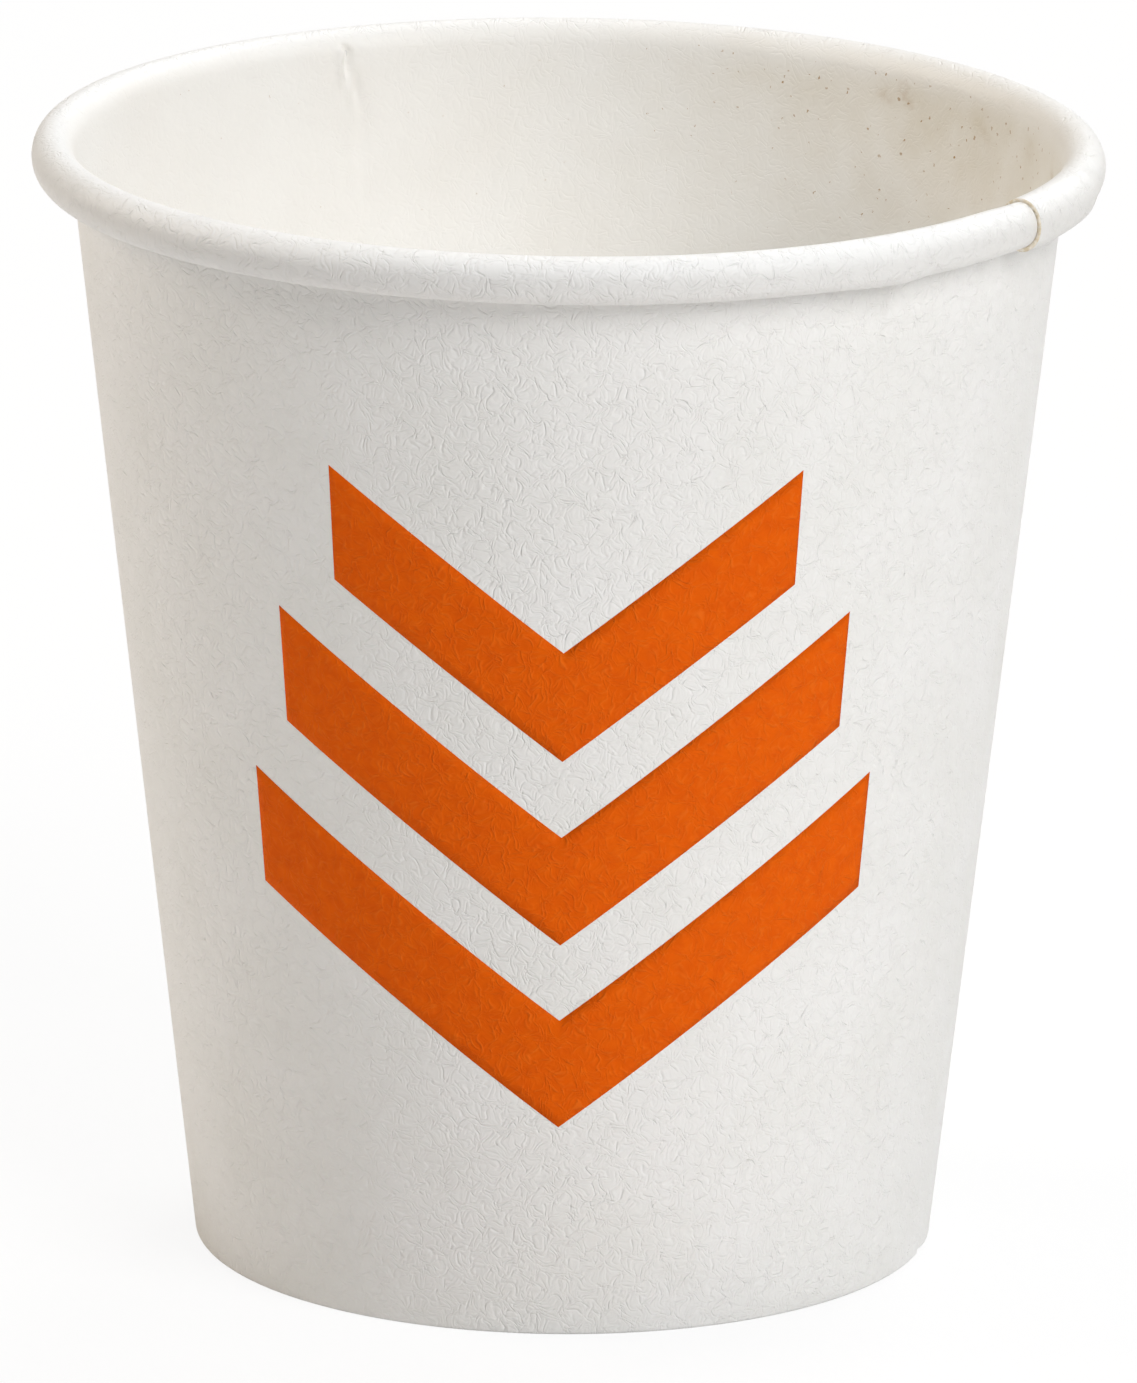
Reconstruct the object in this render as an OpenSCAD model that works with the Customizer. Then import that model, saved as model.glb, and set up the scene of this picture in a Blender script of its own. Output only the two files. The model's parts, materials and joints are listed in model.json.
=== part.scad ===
// Single-wall paper cup with a rolled rim, a lapped side seam and a printed pattern of chevrons.
// Millimetres. The cup stands on z = 0, its axis is the Z axis, and its front faces -Y.
// Angles round the cup are counted from the front, towards +X.

/* [Rim] */
// Outer diameter of the rolled rim
rim_d = 73; // [68:0.5:80]
// Width of the rolled rim, from its inner to its outer side
roll_w = 2.9; // [2.6:0.1:3.4]
// Height of the rolled rim
roll_h = 3.2; // [2.8:0.1:3.8]
// Turns that the paper makes in the rolled rim
roll_turns = 1.3; // [1.1:0.1:1.4]
// Free space between one turn of the rolled rim and the next
turn_gap = 0.06; // [0.04:0.01:0.1]

/* [Wall] */
// Height of the cup, from the table to the top of the rim
cup_h = 77.6; // [70:0.2:92]
// Outer diameter of the wall, carried down to the table
base_d = 50.7; // [46:0.1:54]
// Thickness of the wall's paper
wall_ply = 0.3; // [0.24:0.02:0.36]
// Rounding of the folded lower edge
fold_r = 0.24; // [0.16:0.02:0.3]

/* [Side seam] */
// Angle at which the inner ply begins, on the inside and over the rim
seam_angle = 59.4; // [52:0.2:80]
// Angle that the two plies overlap
lap_angle = 14.6; // [8:0.2:20]
// Height by which the pressed outer ply stands proud of the wall
lap_rise = 0.12; // [0.06:0.01:0.3]
// Angle over which a covered ply runs out
ramp_angle = 6.6; // [3:0.2:9]

/* [Bottom] */
// Height of the bottom's upper face above the table
floor_h = 8; // [7:0.5:12]
// Thickness of the bottom's paper
floor_ply = 0.26; // [0.2:0.02:0.34]
// Outer radius of the bend between the bottom and its skirt
floor_bend_r = 0.7; // [0.5:0.1:1.2]
// Free height between the folded-in hem and the bottom
hem_drop = 1.2; // [0.8:0.1:2]
// Glue line between the skirt and the paper on each side of it
seal = 0.02; // [0.01:0.01:0.04]

/* [Print] */
// Drop from the top of the rim to the vertex of the upper chevron
print_drop = 28.2; // [26:0.2:32]
// Height step from one chevron to the next
print_pitch = 13.2; // [10:0.1:14]
// Height of the coloured band, measured straight up
band_h = 7.75; // [4:0.05:9]
// Rise of the arms above level, seen from the front
arm_angle = 37.4; // [30:0.2:40]
// Angle from the middle to each end of the upper chevron
upper_half_angle = 29.3; // [20:0.1:34]
// Angle from the middle to each end of the middle chevron
middle_half_angle = 37.9; // [24:0.1:40]
// Angle from the middle to each end of the lower chevron
lower_half_angle = 44; // [28:0.1:45]
// Turn of the print away from the front
print_turn = -0.35; // [-1:0.05:0.2]
// Thickness that the ink adds to the wall
ink_t = 0.1; // [0.04:0.01:0.14]

/* [Hidden] */

$fn = 180;
paper_white = [0.93, 0.92, 0.90];
bottom_white = [0.95, 0.94, 0.91];
ink_orange = [0.84, 0.32, 0.03];

// Angle between two points on the rolled rim's section, and on a rounded corner
roll_step = 15;
corner_step = 22.5;
// Steps in which a covered ply runs out, and the angle by which each lies inside the next
ramp_steps = 2;
end_step = 1;
// Least share of the lap's rise, at both ends of its stretch on the roll
least_share = 0.2;
// Angle of +X as counted from the front
front = -90;

rim_r = rim_d / 2;
base_r = base_d / 2;

// Degrees in one turn
full_turn = 360;

// The roll is an elliptical spiral that closes in by one ply and one gap in each turn
turn_in = wall_ply + turn_gap;
roll_a = (roll_w + turn_in / 2) / 2;
roll_b = (roll_h + turn_in) / 2;
roll_r = rim_r - roll_a + turn_in / 2;
roll_z = cup_h - roll_b + turn_in / 4;
roll_end = roll_turns * full_turn;
// Angles of the roll's turning between which its double ply shows
lap_from = 30;
lap_to = 330;

// The wall leans out to meet the roll's inner side
lean = atan((rim_r - roll_w + wall_ply - base_r) / roll_z);
join_r = roll_r - roll_a * cos(lean);
join_z = roll_z + roll_b * sin(lean);
taper = (join_r + wall_ply - base_r) / join_z;

// Depths of the folded lower edge, counted inward from the wall's outer face
skirt_out = wall_ply + seal;
skirt_in = skirt_out + floor_ply;
hem_out = skirt_in + seal;
hem_in = hem_out + wall_ply;
hem_h = floor_h - floor_ply - hem_drop;

// Radius of a layer of the wall at height z, at a depth inward from the outer face
function wall_r(z, depth = 0) = base_r + taper * z - depth;

// Point of the wall's section at height z and at that depth
function wall_point(z, depth = 0) = [wall_r(z, depth), z];

// Points of an arc about a centre, from one angle to another
function arc(centre, r, from, to) =
    let (count = ceil(abs(to - from) / corner_step))
    [for (i = [0 : count]) let (a = from + (to - from) * i / count) centre + r * [cos(a), sin(a)]];

// Point on the rolled sheet after turn degrees of rolling, at a depth below its outer side
function roll_point(turn, depth = 0) =
    let (a = 180 - lean - turn, close = turn_in * turn / full_turn + depth)
    [roll_r + (roll_a - close) * cos(a), roll_z + (roll_b - close) * sin(a)];

// Share of the lap's rise at a place on the roll: all of it half way, the least at both ends
function roll_share(turn) =
    least_share + (1 - least_share) * sin(180 * (turn - lap_from) / (lap_to - lap_from));

// Section of one ply: rolled rim, leaning wall, and lower edge folded in and up
module ply_section() {
    turns = [for (t = [0 : roll_step : roll_end]) t];
    polygon(concat(
        [for (t = turns) roll_point(t, wall_ply)],
        [for (i = [len(turns) - 1 : -1 : 0]) roll_point(turns[i])],
        [wall_point(wall_ply, wall_ply), wall_point(wall_ply, hem_out)],
        [wall_point(hem_h, hem_out), wall_point(hem_h, hem_in)],
        arc(wall_point(fold_r, hem_in - fold_r), fold_r, 180, 270),
        arc(wall_point(fold_r, fold_r), fold_r, 270, 360)));
}

// Section of what the lap adds to the roll's outer side, rooted in the ply at a depth
module roll_lap_section(rise, root) {
    turns = [for (t = [lap_from : roll_step : lap_to]) t];
    polygon(concat(
        [for (t = turns) roll_point(t, -rise * roll_share(t))],
        [for (i = [len(turns) - 1 : -1 : 0]) roll_point(turns[i], root)]));
}

// Section of what the lap adds to the wall, from the folded edge to the roll
module wall_lap_section(rise, root) {
    low = fold_r + root;
    top = roll_z - roll_b / 2 + root;
    polygon([wall_point(low, root), wall_point(low + rise, -rise),
             wall_point(top, -rise), wall_point(top, root)]);
}

// Turns a section about the axis, between two angles counted from the front
module sector(from, to) {
    rotate([0, 0, front + from]) rotate_extrude(angle = to - from) children();
}

// The blank's ends lap at the side seam. On the roll the inner ply lies outside: it begins with its
// cut edge and runs out past the outer ply's hidden edge. On the wall the outer ply lies outside: it
// swells up over the inner ply's hidden edge and stops at its own cut edge.
module side_wall() {
    cut_angle = seam_angle + lap_angle;
    color(paper_white) {
        rotate_extrude() ply_section();
        for (i = [0 : ramp_steps]) {
            share = 1 - i / (ramp_steps + 1);
            run_out = ramp_angle * i / ramp_steps;
            root = wall_ply * share / 2;
            sector(seam_angle + i * end_step, cut_angle + run_out)
                roll_lap_section(wall_ply * share, root);
            sector(seam_angle - run_out, cut_angle - i * end_step)
                wall_lap_section(lap_rise * share, root);
        }
    }
}

// Recessed bottom with its skirt turned down between the wall and the hem
module bottom_disc() {
    bend_z = floor_h - floor_bend_r;
    out_r = wall_r(bend_z - floor_bend_r * sin(lean), skirt_out);
    bend = [out_r - floor_bend_r * cos(lean), bend_z];
    foot = wall_ply + seal;
    color(bottom_white)
        rotate_extrude()
            polygon(concat(
                [[0, floor_h - floor_ply], [0, floor_h]],
                arc(bend, floor_bend_r, 90, -lean),
                [wall_point(foot, skirt_out), wall_point(foot, skirt_in)],
                arc(bend, floor_bend_r - floor_ply, -lean, 90)));
}

// One printed chevron with its vertex at a height, cut off at an angle on both sides of its middle
module chevron(vertex_z, half_angle) {
    slope = tan(arm_angle);
    low = vertex_z - band_h;
    high = vertex_z + slope * rim_r * sin(half_angle);
    end_z = vertex_z + slope * rim_r;
    color(ink_orange)
        rotate([0, 0, print_turn])
            intersection() {
                sector(-half_angle, half_angle)
                    polygon([wall_point(low), wall_point(low, -ink_t),
                             wall_point(high, -ink_t), wall_point(high)]);
                rotate([90, 0, 0])
                    linear_extrude(rim_r)
                        polygon([[0, vertex_z], [rim_r, end_z], [rim_r, end_z - band_h],
                                 [0, low], [-rim_r, end_z - band_h], [-rim_r, end_z]]);
            }
}

module upper_chevron() {
    chevron(cup_h - print_drop, upper_half_angle);
}

module middle_chevron() {
    chevron(cup_h - print_drop - print_pitch, middle_half_angle);
}

module lower_chevron() {
    chevron(cup_h - print_drop - 2 * print_pitch, lower_half_angle);
}

side_wall();
bottom_disc();
upper_chevron();
middle_chevron();
lower_chevron();
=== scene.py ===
"""A single-wall paper cup with a printed chevron pattern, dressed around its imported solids."""

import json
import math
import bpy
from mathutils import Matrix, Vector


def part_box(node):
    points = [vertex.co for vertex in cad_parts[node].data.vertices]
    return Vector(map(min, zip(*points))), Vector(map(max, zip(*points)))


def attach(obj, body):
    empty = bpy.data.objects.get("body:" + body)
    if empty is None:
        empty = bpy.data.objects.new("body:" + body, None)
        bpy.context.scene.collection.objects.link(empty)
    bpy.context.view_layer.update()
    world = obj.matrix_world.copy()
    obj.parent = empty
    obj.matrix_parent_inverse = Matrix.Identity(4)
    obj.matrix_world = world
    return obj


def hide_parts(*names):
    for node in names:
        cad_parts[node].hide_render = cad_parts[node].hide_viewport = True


bl_info = {
    "name": "Paper Cup",
    "version": (1, 0, 0),
    "blender": (4, 5, 0),
    "location": "3D View > Sidebar > Paper Cup",
    "description": "Builds a rolled-rim paper cup with its print, its wear and a pale studio",
    "category": "Add Mesh",
}

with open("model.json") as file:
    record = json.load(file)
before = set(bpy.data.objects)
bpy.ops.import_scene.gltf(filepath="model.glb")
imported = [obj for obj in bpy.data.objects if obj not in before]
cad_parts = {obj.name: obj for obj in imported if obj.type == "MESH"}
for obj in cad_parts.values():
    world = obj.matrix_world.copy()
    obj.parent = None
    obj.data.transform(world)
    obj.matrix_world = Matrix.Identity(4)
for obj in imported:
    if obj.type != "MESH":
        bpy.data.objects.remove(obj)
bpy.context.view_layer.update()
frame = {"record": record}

import bpy
import numpy as np
from bpy.props import FloatProperty, FloatVectorProperty, PointerProperty
from bpy.types import Operator, Panel, PropertyGroup
from mathutils import Matrix, Vector

MM = 0.001
BODY = "root"

# The rim's width comes from the solids, and the cup's height from the place of its lid mount
WALL_LOW, WALL_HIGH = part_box("side_wall")
MOUNTS = {m["name"]: m for m in frame["record"]["mounts"]}


def linear(code):
    """Turns an sRGB hex colour such as "#D8D0C4" to linear red, green, blue and alpha."""
    parts = [int(code[i:i + 2], 16) / 255 for i in (1, 3, 5)]
    return [c / 12.92 if c <= 0.04045 else ((c + 0.055) / 1.055) ** 2.4 for c in parts] + [1.0]


def length(name, text, metres):
    """A length that a user can change."""
    return FloatProperty(name=name, description=text, default=metres, precision=5,
                         subtype="DISTANCE", unit="LENGTH")


def angle(name, text, degrees):
    """An angle that a user can change."""
    return FloatProperty(name=name, description=text, default=math.radians(degrees),
                         subtype="ANGLE", unit="ROTATION")


def colour(name, text, code):
    """A colour that a user can change."""
    return FloatVectorProperty(name=name, description=text, default=linear(code), size=4,
                               min=0.0, max=1.0, subtype="COLOR")


def number(name, text, value):
    """A plain number that a user can change."""
    return FloatProperty(name=name, description=text, default=value)


class CupSizes(PropertyGroup):
    """Driving sizes of the cup, the same as those of the solids."""

    rim_d: length("Rim width", "Outer diameter of the rolled rim",
                  2 * min(-WALL_LOW.x, WALL_HIGH.x, -WALL_LOW.y, WALL_HIGH.y))
    cup_h: length("Height", "From the table to the top of the rim", MOUNTS["lid_rim"]["pos_m"][2])
    base_d: length("Base width", "Outer diameter of the wall at the table", 50.7 * MM)
    ply: length("Wall paper", "Thickness of the wall's paper", 0.3 * MM)
    roll_w: length("Roll width", "Width of the rolled rim", 2.9 * MM)
    roll_h: length("Roll height", "Height of the rolled rim", 3.2 * MM)
    turn_gap: length("Turn gap", "Free space between turns of the rolled rim", 0.06 * MM)
    roll_end: angle("Roll turning", "How far the paper turns in the rolled rim", 468)
    floor_h: length("Bottom height", "Height of the bottom's upper face", 8 * MM)
    floor_ply: length("Bottom paper", "Thickness of the bottom's paper", 0.26 * MM)
    floor_bend: length("Bottom bend", "Outer radius of the bend into the skirt", 0.7 * MM)
    floor_sag: length("Bottom sag", "How far the middle of the bottom hangs", 0.25 * MM)
    hem_drop: length("Hem drop", "Free height between the hem and the bottom", 1.2 * MM)
    seal: length("Glue line", "Glue line on each side of the skirt", 0.02 * MM)
    fold_bend: length("Fold bend", "Bend of the folded edge at the middle of the ply", 0.17 * MM)
    seam: angle("Seam", "Where the inner ply begins, counted from the front", 59.4)
    lap: angle("Lap", "How far the two plies overlap", 14.6)
    ramp: angle("Ramp", "How far a covered ply takes to run out", 6.6)
    lap_rise: length("Lap rise", "How far the pressed outer ply stands proud", 0.1 * MM)
    lap_gap: length("Lap gap", "Free space between the two plies in the rolled rim", 0.02 * MM)


class PrintSizes(PropertyGroup):
    """Sizes of the three printed chevrons."""

    drop: length("Print drop", "From the top of the rim to the upper chevron's vertex", 28.2 * MM)
    pitch: length("Pitch", "Height step from one chevron to the next", 13.2 * MM)
    band: length("Band", "Height of the coloured band", 7.75 * MM)
    arm: angle("Arm rise", "Rise of the arms above level, seen from the front", 37.4)
    bow: length("Bow", "How far the arms bow upward half way", 0.14 * MM)
    upper_reach: angle("Upper reach", "From the middle to the upper chevron's ends", 29.3)
    middle_reach: angle("Middle reach", "From the middle to the middle chevron's ends", 37.9)
    lower_reach: angle("Lower reach", "From the middle to the lower chevron's ends", 44)
    turn: angle("Turn", "Turn of the print away from the front, at the upper vertex", -0.25)
    skew: angle("Skew", "Further turn of the print down to the lowest vertex", -0.4)
    ink: length("Ink", "How far the ink stands on the wall", 0.012 * MM)
    soak: length("Soak", "How far the ink reaches into the wall", 0.03 * MM)


class CupWear(PropertyGroup):
    """How the cup departs from its true form."""

    tilt: angle("Rim tilt", "How far the rim dips to the right", 0.36)
    tilt_bias: number("Tilt bias", "Share of the tilt that lowers the whole rim", 0.45)
    swell_at: angle("Swell", "Where the roll swells over the hidden ply edge", 38.6)
    swell: length("Swell height", "How far the roll swells there", 0.2 * MM)
    bow: length("Bow", "How far the wall bows out under the swell", 0.23 * MM)
    nick: length("Nick", "How deep the wall is nicked under the swell", 0.08 * MM)
    pleat_at: angle("Pleat", "Where the inner wall is creased, counted from the front", -152.4)
    pleat: length("Pleat height", "How deep the crease is", 0.32 * MM)
    wave: length("Rim wave", "Size of the slow waves of the rim", 0.06 * MM)


class CupColours(PropertyGroup):
    """Colours of the cup's paper and ink."""

    outer: colour("Outer paper", "Uncoated outside of the board", "#ECEBE9")
    rolled: colour("Rolled paper", "Upper half of the roll, stretched smooth", "#F6F6F5")
    # painted shade: the lower half of the roll, which faces away from the light, is darkened
    roll_painted_shade: colour("Rolled paper's shade", "Lower half of the roll, where bent fibres stand up",
                         "#E3E2E0")
    outer_shade: colour("Outer mottling", "Darker clouds in the outer paper", "#E9E8E5")
    inner: colour("Inner paper", "Coated inside of the board", "#F9F8F5")
    inner_shade: colour("Inner mottling", "Darker clouds in the inner paper", "#F6F4F0")
    # olive-brown tint at the back right inside: partly a real stain, partly painted warm shade of that side
    stain_and_shade_colour: colour("Stain", "Olive brown bloom under the rim", "#CDBF9E")
    speck: colour("Specks", "Bark and dirt specks in the pulp", "#A67B30")
    edge: colour("Cut edge", "Raw edge of the board", "#F0E9DC")
    edge_shade: colour("Cut edge shade", "Darker fibres of the raw edge", "#DFD1B6")
    ink: colour("Ink", "Orange of the print", "#E66000")
    ink_shade: colour("Ink shade", "Darker clouds in the ink", "#DD5700")
    ink_thin: colour("Thin ink", "Fibres where the ink lies thin", "#F07C24")


class StageSettings(PropertyGroup):
    """The pale studio round the cup."""

    distance: length("Camera distance", "From the cup's axis to the camera, level", 1.0366)
    height: length("Camera height", "Height of the camera above the table", 0.3235)
    pitch: angle("Camera pitch", "How far the camera looks down", 15.388)
    yaw: angle("Camera yaw", "How far the camera looks to the right", 0.0115)
    roll: angle("Camera roll", "How far the camera leans", 0.347)
    lens: number("Lens", "Focal length in millimetres on a 36 mm sensor", 408.05)
    floor: colour("Floor", "Colour of the floor", "#F5F5F5")
    key: number("Key light", "Power of the lamp on the front right, in watts", 11.6)
    high: number("High light", "Power of the lamp straight above, in watts", 4.8)
    left: number("Left light", "Power of the lamp on the back left, in watts", 7.8)
    back: number("Back light", "Power of the lamp at the back, in watts", 7.6)
    warm: colour("Warm light", "Colour of the lamp on the left", "#FFF3E4")
    world: number("World", "Strength of the even light from all round", 0.02)
    lamp_size: length("Lamp size", "Width of each square lamp", 0.7)
    lamp_distance: length("Lamp distance", "From each lamp to the cup's middle", 1.3)
    floor_w: length("Floor width", "Width of the square floor", 6.0)
    glow: number("Floor glow", "Share of plain white in the floor as the camera sees it", 0.87)
    glow_light: number("Floor glow's light", "Brightness of that plain white", 1.005)


def smooth(low, high, value):
    """0 below low, 1 above high and a soft step between them."""
    share = np.clip((value - low) / (high - low), 0.0, 1.0)
    return share * share * (3.0 - 2.0 * share)


def hump(centre, width, value):
    """1 at the centre, falling away on both sides."""
    return np.exp(-((value - centre) / width) ** 2)


def turned(value, centre):
    """Difference of two angles in degrees, between -180 and 180."""
    return (value - centre + 180.0) % 360.0 - 180.0


class Form:
    """Sizes that follow from the driving sizes: the leaning wall and the elliptical roll."""

    def __init__(self, scene):
        size = scene.cup_sizes
        self.size = size
        self.wear = scene.cup_wear
        self.turn_in = size.ply + size.turn_gap
        self.roll_a = (size.roll_w + self.turn_in / 2) / 2
        self.roll_b = (size.roll_h + self.turn_in) / 2
        self.roll_r = size.rim_d / 2 - self.roll_a + self.turn_in / 2
        self.roll_z = size.cup_h - self.roll_b + self.turn_in / 4
        self.base_r = size.base_d / 2
        rise = size.rim_d / 2 - size.roll_w + size.ply - self.base_r
        self.lean = math.atan(rise / self.roll_z)
        self.join_z = self.roll_z + self.roll_b * math.sin(self.lean)
        join_r = self.roll_r - self.roll_a * math.cos(self.lean)
        self.taper = (join_r + size.ply - self.base_r) / self.join_z
        self.skirt_out = size.ply + size.seal
        self.skirt_in = self.skirt_out + size.floor_ply
        self.hem_mid = self.skirt_in + size.seal + size.ply / 2
        self.hem_h = size.floor_h - size.floor_ply - size.hem_drop

    def wall_r(self, z, depth=0.0):
        """Radius of a layer of the wall at a height, at a depth inward from its outer face."""
        return self.base_r + self.taper * z - depth

    def roll_point(self, turn, depth=0.0):
        """Radius and height on the rolled sheet after a turn in degrees, at a depth."""
        a = math.pi - self.lean - np.radians(turn)
        close = self.turn_in * turn / 360.0 + depth
        return (self.roll_r + (self.roll_a - close) * np.cos(a),
                self.roll_z + (self.roll_b - close) * np.sin(a))

    def on_blank(self, azimuth, run):
        """Place on the flat blank in millimetres, from azimuth in degrees and length up from the table."""
        fan = math.sin(math.atan(self.taper))
        hub = self.base_r / fan
        a = np.radians(azimuth) * fan
        x, y = (hub + run) * np.sin(a), (hub + run) * np.cos(a) - hub
        return np.stack([x, y, np.zeros_like(x)], axis=-1) / MM

    def waved(self, a, r, z):
        """Slow waves of the rim. They leave its widest places at the front, back and sides alone."""
        high = smooth(0.72 * self.size.cup_h, 0.97 * self.size.cup_h, z)
        shape = 0.5 * np.cos(4 * a) - 0.7 + np.sin(2 * a) * np.sin(3 * a + 1.0)
        return r + high * self.wear.wave * shape

    def swollen(self, azimuth, r, z, turn):
        """Swell of the roll over the ply's hidden edge. The wall under it bows out and is nicked."""
        wear, top, on_wall = self.wear, self.size.cup_h, turn < 1.0
        on_roll = smooth(90.0, 170.0, turn) * (1.0 - smooth(300.0, 380.0, turn))
        # the swell rises slowly from the left and ends short on the right
        at = turned(azimuth, math.degrees(wear.swell_at))
        swell = wear.swell * on_roll * np.where(at < 0, hump(0.0, 7.0, at), hump(0.0, 2.6, at))
        # the wall bows out past the hidden edge, and is nicked at that edge
        bow = smooth(0.86 * top, 0.95 * top, z) * smooth(-0.3, 1.1, at) * (1.0 - smooth(8.0, 20.0, at))
        nick = smooth(0.885 * top, 0.93 * top, z) * hump(0.0, 0.5, at)
        return r + 0.5 * swell + on_wall * (wear.bow * bow - wear.nick * nick), z - swell

    def pleated(self, azimuth, r, z, turn):
        """A pleat that slants and wriggles down from the roll and fades: a groove and a low ridge."""
        top = self.size.cup_h
        slant = -1.6 * (1.0 - smooth(0.925 * top, 0.975 * top, z))
        wriggle = 0.35 * np.sin(z / (0.32 * MM)) * smooth(0.92 * top, 0.95 * top, z)
        at = turned(azimuth, math.degrees(self.wear.pleat_at) + slant + wriggle)
        sharp = smooth(0.915 * top, 0.965 * top, z) * (1.0 - smooth(0.0, 30.0, turn))
        soft = smooth(0.80 * top, 0.93 * top, z) * (1.0 - smooth(10.0, 50.0, turn))
        groove = sharp * (hump(0.0, 0.45, at) - 0.8 * hump(0.9, 0.4, at))
        return r + self.wear.pleat * (groove + 0.3 * soft * hump(0.0, 1.1, at))

    def tilted(self, a, r, z):
        """Heights when the rim dips to the right, which fades out down to the table."""
        size = self.size
        dip = math.tan(self.wear.tilt) * (r * np.sin(a) + self.wear.tilt_bias * size.rim_d / 2)
        return z - dip * np.clip(z / size.cup_h, 0.0, 1.0)

    def worn(self, azimuth, r, z, turn):
        """Moves points of the wall and roll as the real cup is bent. Azimuth is in degrees."""
        a = np.radians(azimuth)
        r = self.waved(a, r, z)
        r, z = self.swollen(azimuth, r, z, turn)
        r = self.pleated(azimuth, r, z, turn)
        return r, self.tilted(a, r, z)


def place(azimuth, r, z):
    """Points from azimuth in degrees, counted from the front towards +X, radius and height."""
    a = np.radians(azimuth)
    return np.stack(np.broadcast_arrays(r * np.sin(a), -r * np.cos(a), z), axis=-1)


def new_piece(name, points, faces, finishes, slots, node):
    """A piece from points and faces, with a finish for each face, that stands for a CAD node."""
    mesh = bpy.data.meshes.new(name)
    mesh.from_pydata(np.asarray(points).reshape(-1, 3).tolist(), [], faces)
    for finish in finishes:
        mesh.materials.append(finish)
    mesh.polygons.foreach_set("material_index", slots)
    mesh.polygons.foreach_set("use_smooth", [True] * len(faces))
    mesh.validate()
    mesh.update()
    piece = bpy.data.objects.new(name, mesh)
    bpy.context.scene.collection.objects.link(piece)
    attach(piece, BODY)
    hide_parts(node)
    return piece


def grid_faces(rows, columns, start=0, flip=False, wrap=False):
    """Quads over a grid of points kept row by row."""
    faces = []
    for i in range(rows if wrap else rows - 1):
        for j in range(columns - 1):
            a = start + i * columns + j
            b = start + (i + 1) % rows * columns + j
            quad = (a, b, b + 1, a + 1)
            faces.append(quad[::-1] if flip else quad)
    return faces


def strip_faces(one, other, flip=False):
    """Quads between two lines of point numbers."""
    quads = [(one[i], one[i + 1], other[i + 1], other[i]) for i in range(len(one) - 1)]
    return [q[::-1] for q in quads] if flip else quads


def sheet_faces(rows, columns, flip=False):
    """Faces of a thin sheet made of two like grids: those of its front, its back and its cut edge."""
    count = rows * columns
    front, back = np.arange(2 * count).reshape(2, rows, columns)
    edge = strip_faces(front[0], back[0], flip) + strip_faces(front[-1], back[-1], not flip)
    edge += strip_faces(front[:, 0], back[:, 0], not flip) + strip_faces(front[:, -1], back[:, -1], flip)
    return grid_faces(rows, columns, 0, flip), grid_faces(rows, columns, count, not flip), edge


def run_along(r, z):
    """Length along a line of points, from its start."""
    return np.concatenate([[0.0], np.cumsum(np.hypot(np.diff(r), np.diff(z)))])


def blank_columns(start, end, near):
    """Angles across the wrapped blank, closer together near the features."""
    widest, closest, spread = 1.7, 0.2, 0.12
    angles = [start]
    while angles[-1] < end:
        gap = min(abs(turned(angles[-1], feature)) for feature in near)
        angles.append(angles[-1] + min(widest, closest + spread * gap))
    # the last angle falls past the end, so all of them are drawn in a little
    return np.interp(angles, (start, angles[-1]), (start, end))


# Points on each of the two bends of the folded lower edge
FOLD_POINTS = 6


def blank_section(form):
    """Middle line of the paper from the hem's top to the roll's end: radius, height and turn."""
    size = form.size
    # the fold stays a hair above the table
    bend, low = size.fold_bend, 1.01 * size.ply / 2
    hem_r, wall_r = form.wall_r(low + bend, form.hem_mid), form.wall_r(low + bend, size.ply / 2)
    z = np.linspace(form.hem_h, low + bend, 5)
    r = form.wall_r(z, form.hem_mid)
    for centre, start, end in ((hem_r + bend, 180.0, 270.0), (wall_r - bend, 270.0, 360.0)):
        a = np.radians(np.linspace(start, end, FOLD_POINTS + 1)[1:])
        r = np.append(r, centre + bend * np.cos(a))
        z = np.append(z, low + bend + bend * np.sin(a))
    # the points lie closer near the top, where the wall is pleated and bowed
    up = np.concatenate([np.linspace(low + 2 * bend, 0.76 * form.join_z, 30, endpoint=False),
                         np.linspace(0.76 * form.join_z, form.join_z, 26)])
    turn = np.arange(8.0, math.degrees(size.roll_end) + 1.0, 8.0)
    roll_r, roll_z = form.roll_point(turn, size.ply / 2)
    r = np.concatenate([r, form.wall_r(up, size.ply / 2), roll_r])
    z = np.concatenate([z, up, roll_z])
    turn = np.concatenate([np.zeros(len(r) - len(turn)), turn])
    return r, z, turn


def keep_blank(piece, flat):
    """Keeps each point's place on the flat blank, in millimetres, for the paper's fibres."""
    layer = piece.data.attributes.new("blank", "FLOAT_VECTOR", "POINT")
    layer.data.foreach_set("vector", flat.astype(np.float32).reshape(-1))


# Brown smears on the inner wall: angle from the front, drop below the rim, width in degrees, strength
STAINS = ((138.8, 2.8, 0.7, 0.5), (135.8, 2.7, 0.9, 1.0), (134.6, 3.1, 0.5, 0.8), (120.5, 3.7, 0.4, 0.7),
          (108.0, 3.4, 0.3, 0.5), (98.0, 3.9, 0.4, 0.6))


def fold_start(r):
    """Number of the hem's last point, after which the folded edge turns outward."""
    return np.argmax(np.diff(r) > 0)


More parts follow.
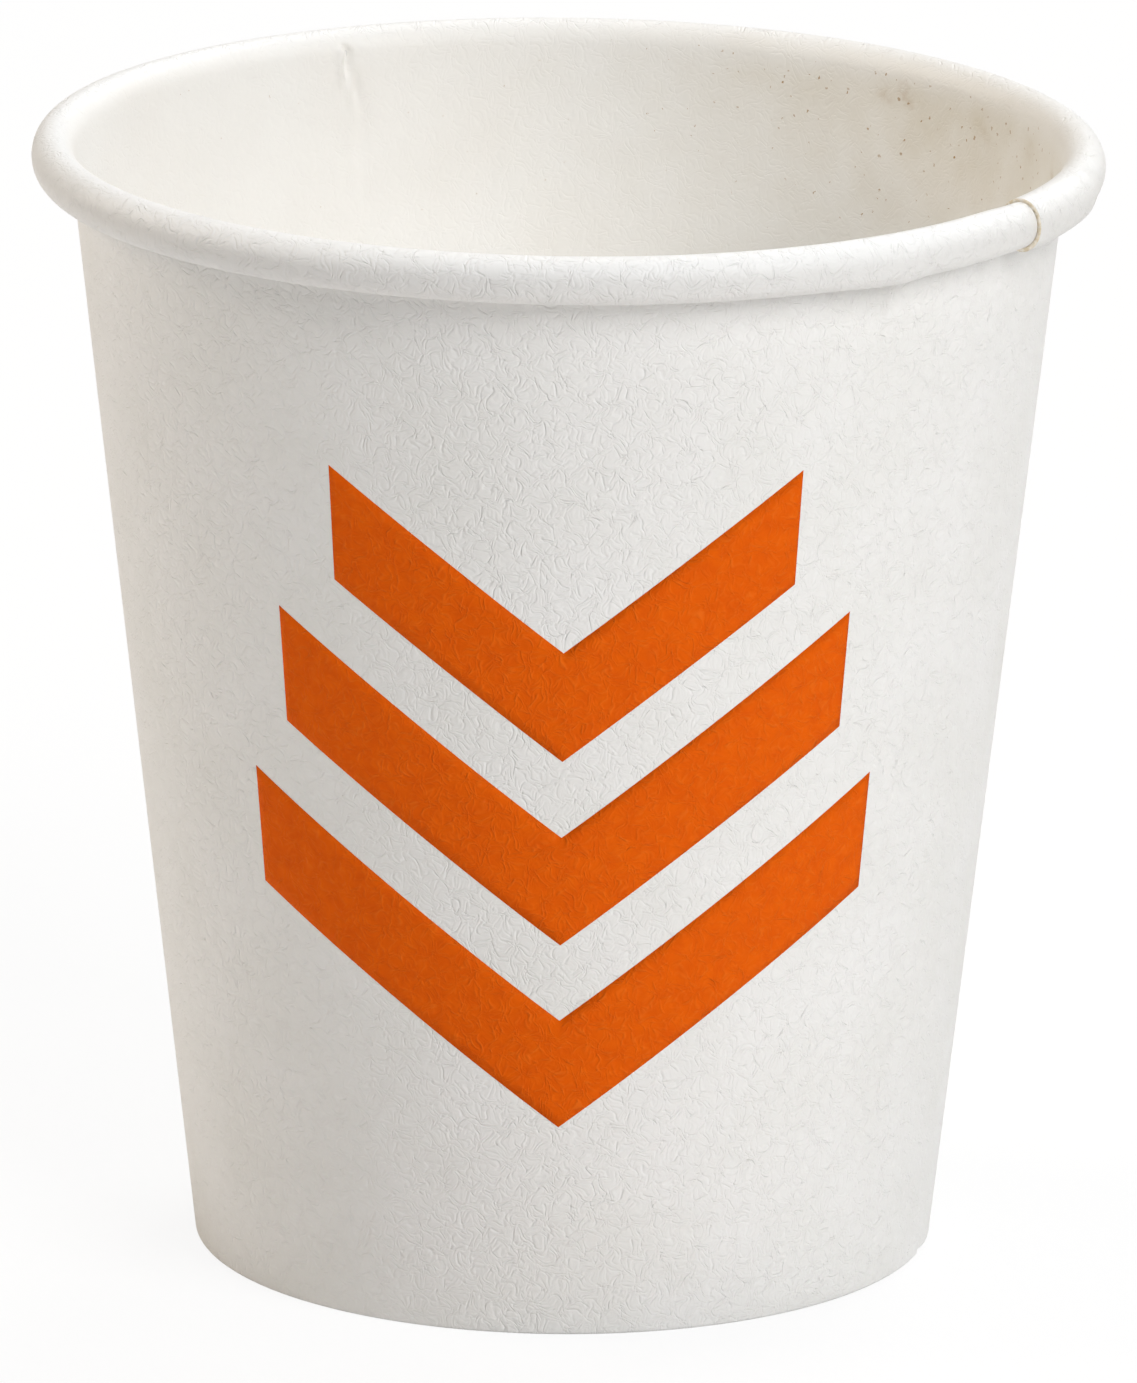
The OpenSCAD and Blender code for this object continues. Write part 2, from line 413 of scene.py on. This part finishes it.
def lapped(form, u, r, z, turn):
    """How far the paper's middle line stands off at the lap, and half of the paper's thickness.

    The inner ply is the first stretch of the blank and the outer ply the last. They are pressed
    together on the wall. In the roll the inner ply climbs over the outer one, which runs on
    straight, and both lie close again where the roll ends.
    """
    size = form.size
    seam, cut = math.degrees(size.seam), math.degrees(size.seam + size.lap)
    ramp = math.degrees(size.ramp)
    pressed = (size.ply + size.lap_rise) / 2
    inner_wall = (size.ply - pressed) / 2
    outer_wall = -(size.lap_rise + size.ply / 2) + pressed / 2
    first = 1.0 - smooth(cut, cut + ramp, u)
    last = smooth(seam + 360.0 - ramp, seam + 360.0, u)
    rolled = smooth(10.0, 150.0, turn)
    climb = (size.ply + size.lap_gap) * (1.0 - smooth(240.0, 360.0, turn))
    # on the folded edge and the hem the lap thickens inward, so that the cup stands level
    on_wall = np.arange(len(z)) >= fold_start(r) + 2 * FOLD_POINTS
    settle = size.lap_rise * np.where(on_wall, 1.0 - smooth(0.4 * MM, 2.0 * MM, z), 1.0)
    stand = first * (inner_wall + settle) + last * (outer_wall + settle)
    offset = (1 - rolled) * stand + rolled * first * climb
    half = size.ply / 2 + (1 - rolled) * np.maximum(first, last) * (pressed - size.ply) / 2
    return offset, half


def stains(form, u, z, turn):
    """Strength of the olive tint, the smears and the specks at each point of the blank. The olive tint is
    partly a real stain and partly painted shade.
    """
    on_wall = turn < 1.0
    # the olive tint and the specks are thickest at the back right, just under the rim; there the tint is
    # partly a real stain and partly painted shade
    bearing, depth = turned(u, 124.0), (form.size.cup_h - z) / MM
    below = smooth(1.2, 3.2, depth) * on_wall
    bloom = 0.2 * hump(0.0, 60.0, bearing) + hump(0.0, 34.0, bearing) * below * np.exp(-depth / 6.0)
    specks = 0.08 + 0.92 * hump(2.0, 38.0, bearing) * np.exp(-np.maximum(depth - 5.0, 0.0) / 7.0)
    smear = np.zeros_like(specks)
    for at, drop, wide, strength in STAINS:
        smear = smear + strength * hump(at, wide, u) * hump(drop, 0.5, depth) * on_wall
        specks = specks + 0.5 * strength * hump(at, 3.0 * wide, u) * hump(drop, 1.5, depth)
    return bloom, smear, specks * (1.0 - smooth(0.0, 20.0, turn))


def build_wall(scene, finishes):
    """The wrapped blank: hem, fold, leaning wall and rolled rim, with its two ends lapped."""
    form = Form(scene)
    size = form.size
    seam, cut = math.degrees(size.seam), math.degrees(size.seam + size.lap)
    near = [seam, cut, cut + math.degrees(size.ramp), math.degrees(form.wear.swell_at),
            math.degrees(form.wear.pleat_at)]
    u = blank_columns(seam, cut + 360.0, near)[:, None]
    r, z, turn = blank_section(form)

    # The food side lies to the left of the line's run: inside on the wall, outside on the roll
    dr, dz = np.gradient(r), np.gradient(z)
    norm = np.hypot(dr, dz)
    side_r, side_z = -dz / norm, dr / norm
    offset, half = lapped(form, u, r, z, turn)
    mid_r, mid_z = form.worn(u, r + offset * side_r, z + offset * side_z, turn)
    food = place(u, mid_r + half * side_r, mid_z + half * side_z)
    back = place(u, mid_r - half * side_r, mid_z - half * side_z)

    rows, columns = food.shape[:2]
    sides = sheet_faces(rows, columns)
    faces = [face for side in sides for face in side]
    slots = [finish for finish, side in enumerate(sides) for _ in side]
    piece = new_piece("wrapped_wall", np.stack([food, back]), faces, finishes, slots,
                      "side_wall")

    # Curl marks the roll, and under the lower half of its outer side, which gets painted shade
    bloom, smear, specks = stains(form, u, z, turn)
    for name, value in (("bloom", bloom), ("smear", smear), ("specks", specks),
                        ("curl", smooth(20.0, 80.0, turn)), ("under", smooth(115.0, 175.0, turn))):
        layer = piece.data.attributes.new(name, "FLOAT", "POINT")
        spread = np.broadcast_to(value, (2, rows, columns)).astype(np.float32)
        layer.data.foreach_set("value", spread.reshape(-1))
    run = run_along(r, z)
    flat = form.on_blank(u, run - run[fold_start(r)])
    keep_blank(piece, np.stack([flat, flat]))


def add_node(tree, kind, sockets=None, **settings):
    """Adds a shader node with its settings. Each socket takes a value or another node's output."""
    made = tree.nodes.new(kind)
    for name, value in settings.items():
        setattr(made, name, value)
    for name, value in (sockets or {}).items():
        if isinstance(value, bpy.types.NodeSocket):
            tree.links.new(value, made.inputs[name])
        else:
            made.inputs[name].default_value = value
    return made


def new_finish(name):
    """An empty material, its node tree and its surface shader."""
    finish = bpy.data.materials.new(name)
    finish.use_nodes = True
    return finish, finish.node_tree, finish.node_tree.nodes["Principled BSDF"]


def millimetres(tree):
    """Place on the object in millimetres, so that a pattern's scale is one over its real size."""
    place_ = add_node(tree, "ShaderNodeTexCoord").outputs["Object"]
    return add_node(tree, "ShaderNodeVectorMath", {0: place_, 1: (1000.0,) * 3},
                    operation="MULTIPLY").outputs["Vector"]


def clouds(tree, where, size_mm, detail=2.0, **settings):
    """Soft noise whose features are about that many millimetres across."""
    return add_node(tree, "ShaderNodeTexNoise",
                    {"Vector": where, "Scale": 1.0 / size_mm, "Detail": detail}, **settings).outputs["Fac"]


def ranged(tree, value, low, high, to_low=0.0, to_high=1.0):
    """Maps a stretch of a value on another stretch, held at both ends."""
    return add_node(tree, "ShaderNodeMapRange", {"Value": value, "From Min": low, "From Max": high,
                                                 "To Min": to_low, "To Max": to_high},
                    clamp=True).outputs["Result"]


def blended(tree, factor, one, other):
    """One colour over another, by a factor."""
    made = add_node(tree, "ShaderNodeMix", data_type="RGBA")
    for socket, value in ((made.inputs[0], factor), (made.inputs[6], one), (made.inputs[7], other)):
        if isinstance(value, bpy.types.NodeSocket):
            tree.links.new(value, socket)
        else:
            socket.default_value = value
    return made.outputs[2]


def computed(tree, operation, *values):
    """A sum on one to three values, each a number or another node's output."""
    return add_node(tree, "ShaderNodeMath", dict(enumerate(values)), operation=operation).outputs["Value"]


def kept(tree, name, output="Fac"):
    """What the mesh keeps at its points under that name."""
    return add_node(tree, "ShaderNodeAttribute", attribute_name=name).outputs[output]


def wavering(tree, flat, scale, detail, reach):
    """Place on the flat blank pushed about by a noise, so that a pattern laid on it wavers."""
    noise = add_node(tree, "ShaderNodeTexNoise", {"Vector": flat, "Scale": scale, "Detail": detail},
                     noise_dimensions="2D").outputs["Color"]
    return add_node(tree, "ShaderNodeVectorMath", {0: noise, 1: (reach, reach, 0.0), 2: flat},
                    operation="MULTIPLY_ADD").outputs["Vector"]


def fibres(tree):
    """Felted fibres: strokes 0.8 mm long and 0.2 mm wide, each turned its own way, in four layers."""
    flat = wavering(tree, kept(tree, "blank", "Vector"), 0.9, 0.0, 0.9)
    felt = add_node(tree, "ShaderNodeTexNoise", {"Vector": flat, "Scale": 4.0, "Detail": 1.0},
                    noise_dimensions="2D").outputs["Fac"]
    for shift, size_mm in ((0.0, 0.8), (31.0, 0.9), (67.0, 0.6), (105.0, 0.7)):
        moved = add_node(tree, "ShaderNodeVectorMath", {0: flat, 1: (shift, shift, 0.0)},
                         operation="ADD").outputs["Vector"]
        cell = add_node(tree, "ShaderNodeTexVoronoi", {"Vector": moved, "Scale": 1.0 / size_mm},
                        voronoi_dimensions="2D")
        off = add_node(tree, "ShaderNodeVectorMath", {0: moved, 1: cell.outputs["Position"]},
                       operation="SUBTRACT").outputs["Vector"]
        pick = add_node(tree, "ShaderNodeSeparateColor", {"Color": cell.outputs["Color"]})
        way = computed(tree, "MULTIPLY", pick.outputs["Red"], math.pi)
        laid = add_node(tree, "ShaderNodeVectorRotate", {"Vector": off, "Angle": way},
                        rotation_type="Z_AXIS")
        laid = add_node(tree, "ShaderNodeVectorMath", {0: laid.outputs["Vector"]}, operation="ABSOLUTE")
        axes = add_node(tree, "ShaderNodeSeparateXYZ", {"Vector": laid.outputs["Vector"]})
        across = ranged(tree, axes.outputs["Y"], 0.0, 0.1, 1.0, 0.0)
        along = ranged(tree, axes.outputs["X"], 0.28, 0.48, 1.0, 0.0)
        stroke = computed(tree, "MULTIPLY", across, along)
        height = computed(tree, "MULTIPLY_ADD", pick.outputs["Green"], 0.7, 0.3)
        felt = computed(tree, "MULTIPLY_ADD", stroke, height, felt)
    return felt


# How far the fibres stand up from the paper
FELT_HEIGHT = 0.032 * MM


def raise_felt(tree, shader, felt, strength=1.0):
    """Lets the fibres stand up from a finish, all of them or a share."""
    bump = add_node(tree, "ShaderNodeBump", {"Height": felt, "Strength": strength, "Distance": FELT_HEIGHT})
    tree.links.new(bump.outputs["Normal"], shader.inputs["Normal"])


def finish_outer_board(colours):
    """Bleached cup board, uncoated: dry, matte and felted, with faint clouds in the pulp."""
    finish, tree, shader = new_finish("bleached_board")
    felt = fibres(tree)
    cloud = ranged(tree, clouds(tree, millimetres(tree), 7.0, 3.0), 0.35, 0.65)
    base = blended(tree, cloud, colours.outer, colours.outer_shade)
    # painted highlight: the raised fibres are lightened towards white
    lit = blended(tree, ranged(tree, felt, 0.6, 2.0, 0.0, 0.14), base, linear("#FFFFFF"))
    tree.links.new(lit, shader.inputs["Base Color"])
    shader.inputs["Roughness"].default_value = 0.78
    shader.inputs["Specular IOR Level"].default_value = 0.35
    raise_felt(tree, shader, felt)
    return finish


def speck_share(tree, flat):
    """How much of a speck lies at each place: bark and dirt in the pulp, ragged and scattered."""
    cell = add_node(tree, "ShaderNodeTexVoronoi", {"Vector": flat, "Scale": 1.0 / 0.85},
                    voronoi_dimensions="2D")
    # a cell's own colour says whether it holds a speck, how large and how dark
    pick = add_node(tree, "ShaderNodeSeparateColor", {"Color": cell.outputs["Color"]})
    chosen = computed(tree, "MULTIPLY_ADD", kept(tree, "specks"), 0.4, -1.0)
    chosen = computed(tree, "ADD", pick.outputs["Red"], chosen)
    radius = ranged(tree, chosen, 0.0, 0.4, 0.05, 0.18)
    held = ranged(tree, chosen, 0.0, 0.01)
    inside = computed(tree, "SUBTRACT", radius, cell.outputs["Distance"])
    dark = computed(tree, "MULTIPLY_ADD", pick.outputs["Green"], 0.5, 0.4)
    return computed(tree, "MULTIPLY", ranged(tree, inside, 0.0, 0.06, 0.0, held), dark)


def stained(tree, where, base, colours):
    """A colour with the olive tint, partly a real stain and partly painted shade, the brown smears and the
    specks laid over it.
    """
    patchy = ranged(tree, clouds(tree, where, 3.0, 4.0), 0.3, 0.7, 0.35, 0.65)
    # olive tint: partly a real stain, partly painted shade at the back right inside
    base = blended(tree, computed(tree, "MULTIPLY", kept(tree, "bloom"), patchy), base, colours.stain_and_shade_colour)
    flat = wavering(tree, kept(tree, "blank", "Vector"), 4.0, 1.0, 0.3)
    broken = ranged(tree, clouds(tree, flat, 0.6, 3.0), 0.35, 0.65, 0.1, 0.6)
    base = blended(tree, computed(tree, "MULTIPLY", kept(tree, "smear"), broken), base, colours.speck)
    return blended(tree, speck_share(tree, flat), base, colours.speck)


def finish_inner_board(colours):
    """Board with a thin clear film: smoother and a little silky, warm, stained and specked."""
    finish, tree, shader = new_finish("coated_board")
    where = millimetres(tree)
    cloud = ranged(tree, clouds(tree, where, 12.0, 2.0), 0.35, 0.65)
    base = blended(tree, cloud, colours.inner, colours.inner_shade)
    curl = kept(tree, "curl")
    base = blended(tree, curl, base, colours.rolled)
    # painted shade over the lower half of the roll
    base = blended(tree, kept(tree, "under"), base, colours.roll_painted_shade)
    tree.links.new(stained(tree, where, base, colours), shader.inputs["Base Color"])
    shader.inputs["Roughness"].default_value = 0.5
    shader.inputs["Specular IOR Level"].default_value = 0.4
    # the film fills the felt inside the cup, and the tight roll brings it out
    raise_felt(tree, shader, fibres(tree), ranged(tree, curl, 0.0, 1.0, 0.3, 1.0))
    return finish


def finish_cut_edge(colours):
    """Die-cut edge of the board: unbleached-looking, tan, with torn fibres."""
    finish, tree, shader = new_finish("die_cut_edge")
    where = millimetres(tree)
    streaks = ranged(tree, clouds(tree, where, 0.25, 2.0), 0.35, 0.65)
    tree.links.new(blended(tree, streaks, colours.edge, colours.edge_shade), shader.inputs["Base Color"])
    shader.inputs["Roughness"].default_value = 0.9
    bump = add_node(tree, "ShaderNodeBump", {"Height": streaks, "Strength": 0.5, "Distance": 0.03 * MM})
    tree.links.new(bump.outputs["Normal"], shader.inputs["Normal"])
    return finish


def finish_ink(colours):
    """Flexographic ink: matte, soaked in, so the felted board shows through as a fine mottle."""
    finish, tree, shader = new_finish("flexo_ink")
    felt = fibres(tree)
    mottle = ranged(tree, clouds(tree, millimetres(tree), 1.1, 3.0), 0.3, 0.7)
    base = blended(tree, mottle, colours.ink, colours.ink_shade)
    thin = blended(tree, ranged(tree, felt, 0.6, 2.0, 0.0, 0.3), base, colours.ink_thin)
    tree.links.new(thin, shader.inputs["Base Color"])
    shader.inputs["Roughness"].default_value = 0.8
    shader.inputs["Specular IOR Level"].default_value = 0.09
    raise_felt(tree, shader, felt)
    return finish


def board_finishes(colours):
    """The finishes of a paper blank: its food side, its outer side and its cut edge."""
    return [finish_inner_board(colours), finish_outer_board(colours), finish_cut_edge(colours)]


class CUP_OT_side_wall(Operator):
    """Builds the wrapped blank with its rolled rim and lapped seam"""

    bl_idname = "cup.side_wall"
    bl_label = "Side Wall"

    def execute(self, context):
        build_wall(context.scene, board_finishes(context.scene.cup_colours))
        return {"FINISHED"}


class CUP_OT_bottom(Operator):
    """Builds the recessed bottom with its skirt"""

    bl_idname = "cup.bottom"
    bl_label = "Bottom"

    def execute(self, context):
        form = Form(context.scene)
        size = form.size
        bend, thick = size.floor_bend, size.floor_ply
        bend_z = size.floor_h - bend
        out_r = form.wall_r(bend_z - bend * math.sin(form.lean), form.skirt_out)
        centre = out_r - bend * math.cos(form.lean)
        a = np.linspace(math.pi / 2, -form.lean, 8)
        flat = np.linspace(0.0, centre, 14)[1:-1]
        foot = np.linspace(bend_z - bend, form.skirt_out, 6)[1:]
        around = np.arange(0.0, 360.0, 2.5)[:, None]
        lines, points = [], []
        for depth, skirt in ((0.0, form.skirt_out), (thick, form.skirt_in)):
            r = np.concatenate([flat, centre + (bend - depth) * np.cos(a), form.wall_r(foot, skirt)])
            z = np.concatenate([np.full(len(flat), size.floor_h - depth),
                                bend_z + (bend - depth) * np.sin(a), foot])
            z = z - size.floor_sag * (1.0 - np.clip(r / centre, 0.0, 1.0) ** 2)
            lines.append((r, z))
            points.append(place(around, r, z))
        rows, columns = points[0].shape[:2]
        count = rows * columns
        middle = size.floor_h - size.floor_sag
        points = np.concatenate([points[0].reshape(-1, 3), points[1].reshape(-1, 3),
                                 [[0, 0, middle], [0, 0, middle - thick]]])
        faces = grid_faces(rows, columns, flip=True, wrap=True)
        faces += grid_faces(rows, columns, count, wrap=True)
        slots = [0] * (len(faces) // 2) + [1] * (len(faces) // 2)
        for i in range(rows):
            j = (i + 1) % rows
            edge = [i * columns + columns - 1, j * columns + columns - 1]
            faces.append((edge[0], edge[1], edge[1] + count, edge[0] + count))
            faces.append((2 * count, i * columns, j * columns))
            faces.append((2 * count + 1, j * columns + count, i * columns + count))
            slots += [2, 0, 1]
        piece = new_piece("set_in_bottom", points, faces, board_finishes(context.scene.cup_colours),
                          slots, "bottom_disc")
        run = run_along(*lines[0]) + flat[0]
        x, y = run * np.sin(np.radians(around)), run * np.cos(np.radians(around))
        disc = np.stack([x, y, np.zeros_like(x)], axis=-1).reshape(-1, 3) / MM
        keep_blank(piece, np.concatenate([disc, disc, np.zeros((2, 3))]))
        return {"FINISHED"}


class CUP_OT_print(Operator):
    """Lays the three printed chevrons on the wall"""

    bl_idname = "cup.chevrons"
    bl_label = "Chevrons"

    def execute(self, context):
        form = Form(context.scene)
        plan = context.scene.cup_print
        ink = finish_ink(context.scene.cup_colours)
        slope = math.tan(plan.arm)
        reaches = {"upper": plan.upper_reach, "middle": plan.middle_reach, "lower": plan.lower_reach}
        for i, (name, reach) in enumerate(reaches.items()):
            vertex = form.size.cup_h - plan.drop - i * plan.pitch
            half = np.linspace(0.0, math.degrees(reach), 45)
            azimuth = np.concatenate([-half[:0:-1], half])[:, None]
            across = np.abs(np.sin(np.radians(azimuth)))
            level = vertex - plan.band * np.linspace(0.0, 1.0, 9)[None, :]
            # height at which a straight arm meets the leaning wall
            z = (level + slope * form.base_r * across) / (1.0 - slope * form.taper * across)
            z = z + plan.bow * np.sin(math.pi * np.abs(azimuth) / math.degrees(reach))
            fall = (form.size.cup_h - plan.drop - z) / (2 * plan.pitch + plan.band)
            turn = np.degrees(plan.turn + plan.skew * fall)
            points = []
            for lift in (plan.ink, -plan.soak):
                r, height = form.worn(azimuth + turn, form.wall_r(z) + lift, z, np.zeros_like(z))
                points.append(place(azimuth + turn, r, height))
            faces = [face for side in sheet_faces(*z.shape, flip=True) for face in side]
            piece = new_piece(f"{name}_chevron_ink", np.stack(points), faces, [ink], [0] * len(faces),
                              f"{name}_chevron")
            flat = form.on_blank(azimuth + turn, z * math.hypot(1.0, form.taper))
            keep_blank(piece, np.stack([flat, flat]))
        return {"FINISHED"}


class CUP_OT_stage(Operator):
    """Sets up the camera, the floor and the soft studio light"""

    bl_idname = "cup.stage"
    bl_label = "Stage"

    def execute(self, context):
        stage = context.scene.cup_stage
        self.camera(context, stage)
        self.floor(context, stage)
        self.lamp(context, "key", 40, 35, stage.key)
        self.lamp(context, "high", 0, 88, stage.high)
        self.lamp(context, "left", -106, 26, stage.left, stage.warm)
        self.lamp(context, "back", 151, 41, stage.back)
        self.surround(context, stage)
        return {"FINISHED"}

    def camera(self, context, stage):
        """The photo's view: a long lens, looking down on the cup."""
        data = bpy.data.cameras.new("view")
        data.lens = stage.lens
        data.sensor_width = 36.0
        data.sensor_fit = "AUTO"
        data.clip_end = 100.0
        camera = bpy.data.objects.new("view", data)
        facing = (Matrix.Rotation(-stage.yaw, 4, "Z") @ Matrix.Rotation(math.pi / 2 - stage.pitch, 4, "X")
                  @ Matrix.Rotation(stage.roll, 4, "Z"))
        camera.matrix_world = Matrix.Translation((0.0, -stage.distance, stage.height)) @ facing
        context.scene.collection.objects.link(camera)
        context.scene.camera = camera

    def lamp(self, context, name, bearing, rise, power, tint=(1.0, 1.0, 1.0, 1.0)):
        """A square soft box aimed at the cup's middle. Bearing, from the front, and rise are in degrees."""
        stage = context.scene.cup_stage
        data = bpy.data.lights.new(name, "AREA")
        data.size = stage.lamp_size
        data.energy = power
        data.color = tint[:3]
        lamp = bpy.data.objects.new(name, data)
        middle = Vector((0.0, 0.0, context.scene.cup_sizes.cup_h / 2))
        a, e = math.radians(bearing), math.radians(rise)
        away = Vector((math.cos(e) * math.sin(a), -math.cos(e) * math.cos(a), math.sin(e)))
        lamp.location = middle + stage.lamp_distance * away
        lamp.rotation_euler = (middle - lamp.location).to_track_quat("-Z", "Y").to_euler()
        context.scene.collection.objects.link(lamp)

    def floor(self, context, stage):
        """A wide pale floor. The camera sees it nearly white, with the cup's shadow on it."""
        half = stage.floor_w / 2
        mesh = bpy.data.meshes.new("floor")
        mesh.from_pydata([(-half, -half, 0), (half, -half, 0), (half, half, 0), (-half, half, 0)], [],
                         [(0, 1, 2, 3)])
        finish, tree, shader = new_finish("pale_paper_sweep")
        grain = ranged(tree, clouds(tree, millimetres(tree), 60.0), 0.3, 0.7, 0.0, 0.06)
        tree.links.new(blended(tree, grain, stage.floor, linear("#FFFFFF")), shader.inputs["Base Color"])
        shader.inputs["Roughness"].default_value = 0.9
        shader.inputs["Specular IOR Level"].default_value = 0.2
        rays = add_node(tree, "ShaderNodeLightPath")
        seen = computed(tree, "MULTIPLY", rays.outputs["Is Camera Ray"], stage.glow)
        glow = add_node(tree, "ShaderNodeEmission",
                        {"Color": linear("#FFFFFF"), "Strength": stage.glow_light})
        mixed = add_node(tree, "ShaderNodeMixShader")
        tree.links.new(seen, mixed.inputs[0])
        tree.links.new(shader.outputs[0], mixed.inputs[1])
        tree.links.new(glow.outputs[0], mixed.inputs[2])
        tree.links.new(mixed.outputs[0], tree.nodes["Material Output"].inputs["Surface"])
        mesh.materials.append(finish)
        floor = bpy.data.objects.new("floor", mesh)
        context.scene.collection.objects.link(floor)

    def surround(self, context, stage):
        """Even light from all round, which the camera sees as white."""
        world = bpy.data.worlds.new("surround")
        world.use_nodes = True
        tree = world.node_tree
        back = tree.nodes["Background"]
        rays = add_node(tree, "ShaderNodeLightPath")
        seen = add_node(tree, "ShaderNodeMath", {0: rays.outputs["Is Camera Ray"],
                                                 1: rays.outputs["Is Transmission Ray"]},
                        operation="MAXIMUM").outputs["Value"]
        strength = ranged(tree, seen, 0.0, 1.0, stage.world, 1.0)
        back.inputs["Color"].default_value = linear("#FFFFFF")
        tree.links.new(strength, back.inputs["Strength"])
        context.scene.world = world
        context.scene.view_settings.view_transform = "Standard"


class CUP_PT_panel(Panel):
    """Lists the cup's pieces and its stage"""

    bl_idname = "CUP_PT_panel"
    bl_label = "Paper Cup"
    bl_space_type = "VIEW_3D"
    bl_region_type = "UI"
    bl_category = "Paper Cup"

    def draw(self, context):
        for made in OPERATORS:
            self.layout.operator(made.bl_idname, text=made.bl_label)
        for name in GROUPS:
            group = getattr(context.scene, name)
            box = self.layout.box()
            for entry in group.bl_rna.properties:
                if not entry.is_readonly and entry.identifier != "name":
                    box.prop(group, entry.identifier)


OPERATORS = (CUP_OT_side_wall, CUP_OT_bottom, CUP_OT_print, CUP_OT_stage)
GROUPS = {"cup_sizes": CupSizes, "cup_print": PrintSizes, "cup_wear": CupWear,
          "cup_colours": CupColours, "cup_stage": StageSettings}


def register():
    for made in (*GROUPS.values(), *OPERATORS, CUP_PT_panel):
        bpy.utils.register_class(made)
    for name, group in GROUPS.items():
        setattr(bpy.types.Scene, name, PointerProperty(type=group))


def unregister():
    for name in GROUPS:
        delattr(bpy.types.Scene, name)
    for made in reversed((*GROUPS.values(), *OPERATORS, CUP_PT_panel)):
        bpy.utils.unregister_class(made)


def main():
    """Builds every piece and the stage."""
    register()
    bpy.ops.cup.side_wall()
    bpy.ops.cup.bottom()
    bpy.ops.cup.chevrons()
    bpy.ops.cup.stage()
    bpy.context.view_layer.update()


if __name__ == "__main__":
    main()
